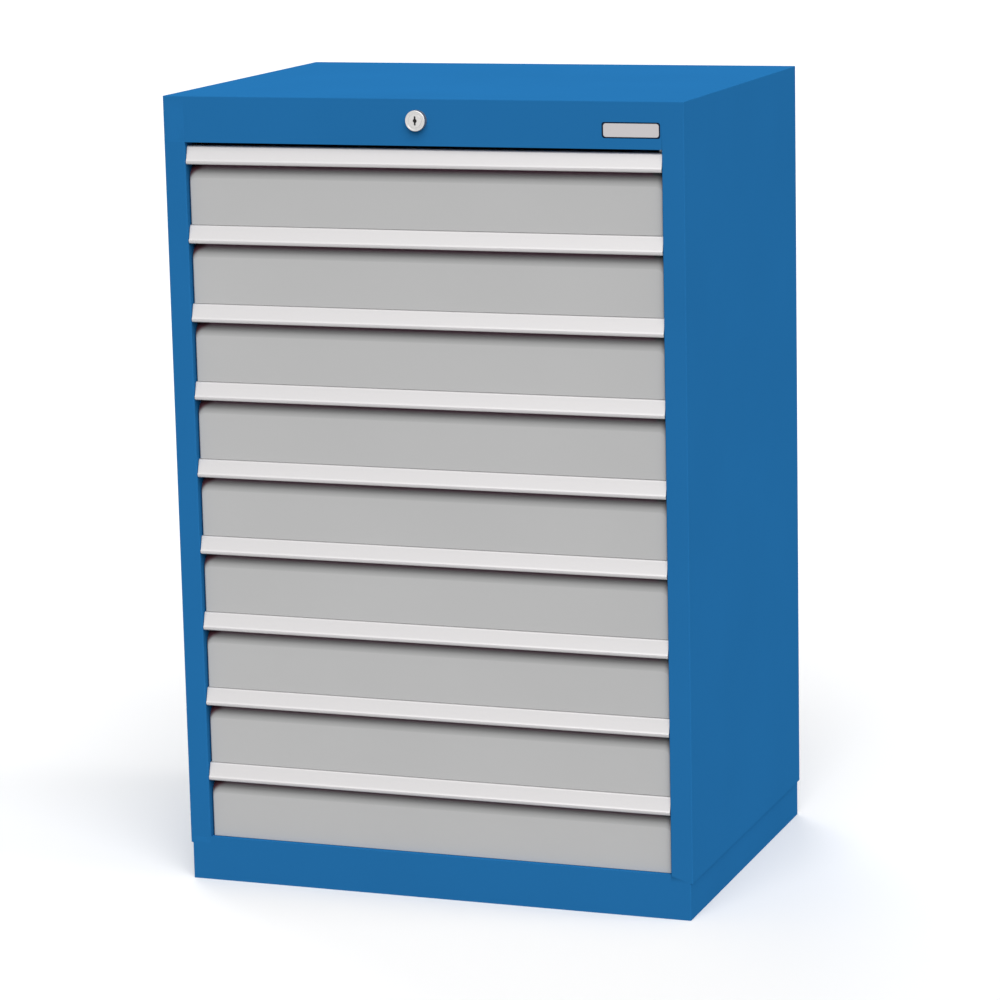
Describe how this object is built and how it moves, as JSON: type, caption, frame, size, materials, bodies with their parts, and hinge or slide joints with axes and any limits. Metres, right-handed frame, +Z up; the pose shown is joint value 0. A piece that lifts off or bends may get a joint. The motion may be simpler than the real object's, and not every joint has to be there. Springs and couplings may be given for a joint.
{
  "type": "drawer cabinet",
  "caption": "Free-standing sheet-steel drawer cabinet with full-width drawers on telescopic runners, finger-grip handle strips and one central lock that bars every drawer.",
  "frame": {"origin": "centre of the overall box at floor level, under the cabinet", "axes": "+Z up, +X to the right seen from the front, drawers open towards -Y"},
  "size_m": [0.682, 0.5092, 1.019],
  "materials": {
    "blue_powder_coat": "smooth satin powder coat",
    "grey_powder_coat": "smooth satin powder coat",
    "anodised_aluminium": "satin anodised extrusion",
    "zinc_plated_steel": "bright zinc plate",
    "lock_nickel": "satin nickel",
    "nameplate_grey": "matt, blank"
  },
  "bodies": {
    "cabinet": {"left_side": "blue_powder_coat", "right_side": "blue_powder_coat", "top_panel": "blue_powder_coat", "front_rail": "blue_powder_coat", "bottom_panel": "blue_powder_coat", "back_panel": "blue_powder_coat", "plinth": "blue_powder_coat", "uprights": "zinc_plated_steel", "cabinet_rails": "zinc_plated_steel", "nameplate": "nameplate_grey", "fixings": "zinc_plated_steel", "lock_housing": "lock_nickel"},
    "lock_plug": {"lock_plug": "lock_nickel"},
    "transfer_bar": {"transfer_bar": "zinc_plated_steel"},
    "locking_bar": {"locking_bar": "zinc_plated_steel"},
    "drawer_1": {"drawer_1_front": "grey_powder_coat", "drawer_1_handle": "anodised_aluminium", "drawer_1_tray": "grey_powder_coat", "drawer_1_fittings": "zinc_plated_steel"},
    "runner_1": {"runner_1": "zinc_plated_steel"},
    "drawer_2": {"drawer_2_front": "grey_powder_coat", "drawer_2_handle": "anodised_aluminium", "drawer_2_tray": "grey_powder_coat", "drawer_2_fittings": "zinc_plated_steel"},
    "runner_2": {"runner_2": "zinc_plated_steel"},
    "drawer_3": {"drawer_3_front": "grey_powder_coat", "drawer_3_handle": "anodised_aluminium", "drawer_3_tray": "grey_powder_coat", "drawer_3_fittings": "zinc_plated_steel"},
    "runner_3": {"runner_3": "zinc_plated_steel"},
    "drawer_4": {"drawer_4_front": "grey_powder_coat", "drawer_4_handle": "anodised_aluminium", "drawer_4_tray": "grey_powder_coat", "drawer_4_fittings": "zinc_plated_steel"},
    "runner_4": {"runner_4": "zinc_plated_steel"},
    "drawer_5": {"drawer_5_front": "grey_powder_coat", "drawer_5_handle": "anodised_aluminium", "drawer_5_tray": "grey_powder_coat", "drawer_5_fittings": "zinc_plated_steel"},
    "runner_5": {"runner_5": "zinc_plated_steel"},
    "drawer_6": {"drawer_6_front": "grey_powder_coat", "drawer_6_handle": "anodised_aluminium", "drawer_6_tray": "grey_powder_coat", "drawer_6_fittings": "zinc_plated_steel"},
    "runner_6": {"runner_6": "zinc_plated_steel"},
    "drawer_7": {"drawer_7_front": "grey_powder_coat", "drawer_7_handle": "anodised_aluminium", "drawer_7_tray": "grey_powder_coat", "drawer_7_fittings": "zinc_plated_steel"},
    "runner_7": {"runner_7": "zinc_plated_steel"},
    "drawer_8": {"drawer_8_front": "grey_powder_coat", "drawer_8_handle": "anodised_aluminium", "drawer_8_tray": "grey_powder_coat", "drawer_8_fittings": "zinc_plated_steel"},
    "runner_8": {"runner_8": "zinc_plated_steel"},
    "drawer_9": {"drawer_9_front": "grey_powder_coat", "drawer_9_handle": "anodised_aluminium", "drawer_9_tray": "grey_powder_coat", "drawer_9_fittings": "zinc_plated_steel"},
    "runner_9": {"runner_9": "zinc_plated_steel"}
  },
  "joints": [
    {"name": "transfer_bar_slide", "type": "slide", "parent": "cabinet", "child": "transfer_bar", "axis": [-1, 0, 0], "range_m": [0, 0.01697]},
    {"name": "lock_turn", "type": "hinge", "parent": "cabinet", "child": "lock_plug", "pos_m": [0, -0.2466, 0.9925], "axis": [0, 1, 0], "range_deg": [0, 90]},
    {"name": "locking_bar_lift", "type": "slide", "parent": "cabinet", "child": "locking_bar", "axis": [0, 0, 1], "range_m": [0, 0.01697]},
    {"name": "drawer_1_slide", "type": "slide", "parent": "cabinet", "child": "drawer_1", "axis": [0, -1, 0], "range_m": [0, 0.4]},
    {"name": "drawer_2_slide", "type": "slide", "parent": "cabinet", "child": "drawer_2", "axis": [0, -1, 0], "range_m": [0, 0.4]},
    {"name": "drawer_3_slide", "type": "slide", "parent": "cabinet", "child": "drawer_3", "axis": [0, -1, 0], "range_m": [0, 0.4]},
    {"name": "drawer_4_slide", "type": "slide", "parent": "cabinet", "child": "drawer_4", "axis": [0, -1, 0], "range_m": [0, 0.4]},
    {"name": "drawer_5_slide", "type": "slide", "parent": "cabinet", "child": "drawer_5", "axis": [0, -1, 0], "range_m": [0, 0.4]},
    {"name": "drawer_6_slide", "type": "slide", "parent": "cabinet", "child": "drawer_6", "axis": [0, -1, 0], "range_m": [0, 0.4]},
    {"name": "drawer_7_slide", "type": "slide", "parent": "cabinet", "child": "drawer_7", "axis": [0, -1, 0], "range_m": [0, 0.4]},
    {"name": "drawer_8_slide", "type": "slide", "parent": "cabinet", "child": "drawer_8", "axis": [0, -1, 0], "range_m": [0, 0.4]},
    {"name": "drawer_9_slide", "type": "slide", "parent": "cabinet", "child": "drawer_9", "axis": [0, -1, 0], "range_m": [0, 0.4]},
    {"name": "runner_1_slide", "type": "slide", "parent": "cabinet", "child": "runner_1", "axis": [0, -1, 0], "range_m": [0, 0.2]},
    {"name": "runner_2_slide", "type": "slide", "parent": "cabinet", "child": "runner_2", "axis": [0, -1, 0], "range_m": [0, 0.2]},
    {"name": "runner_3_slide", "type": "slide", "parent": "cabinet", "child": "runner_3", "axis": [0, -1, 0], "range_m": [0, 0.2]},
    {"name": "runner_4_slide", "type": "slide", "parent": "cabinet", "child": "runner_4", "axis": [0, -1, 0], "range_m": [0, 0.2]},
    {"name": "runner_5_slide", "type": "slide", "parent": "cabinet", "child": "runner_5", "axis": [0, -1, 0], "range_m": [0, 0.2]},
    {"name": "runner_6_slide", "type": "slide", "parent": "cabinet", "child": "runner_6", "axis": [0, -1, 0], "range_m": [0, 0.2]},
    {"name": "runner_7_slide", "type": "slide", "parent": "cabinet", "child": "runner_7", "axis": [0, -1, 0], "range_m": [0, 0.2]},
    {"name": "runner_8_slide", "type": "slide", "parent": "cabinet", "child": "runner_8", "axis": [0, -1, 0], "range_m": [0, 0.2]},
    {"name": "runner_9_slide", "type": "slide", "parent": "cabinet", "child": "runner_9", "axis": [0, -1, 0], "range_m": [0, 0.2]}
  ],
  "couplings": [
    {"joint": "lock_turn", "follows": "transfer_bar_slide", "rad_per_m": 92.563},
    {"joint": "locking_bar_lift", "follows": "transfer_bar_slide", "ratio": 1},
    {"joint": "runner_1_slide", "follows": "drawer_1_slide", "ratio": 0.5},
    {"joint": "runner_2_slide", "follows": "drawer_2_slide", "ratio": 0.5},
    {"joint": "runner_3_slide", "follows": "drawer_3_slide", "ratio": 0.5},
    {"joint": "runner_4_slide", "follows": "drawer_4_slide", "ratio": 0.5},
    {"joint": "runner_5_slide", "follows": "drawer_5_slide", "ratio": 0.5},
    {"joint": "runner_6_slide", "follows": "drawer_6_slide", "ratio": 0.5},
    {"joint": "runner_7_slide", "follows": "drawer_7_slide", "ratio": 0.5},
    {"joint": "runner_8_slide", "follows": "drawer_8_slide", "ratio": 0.5},
    {"joint": "runner_9_slide", "follows": "drawer_9_slide", "ratio": 0.5}
  ]
}
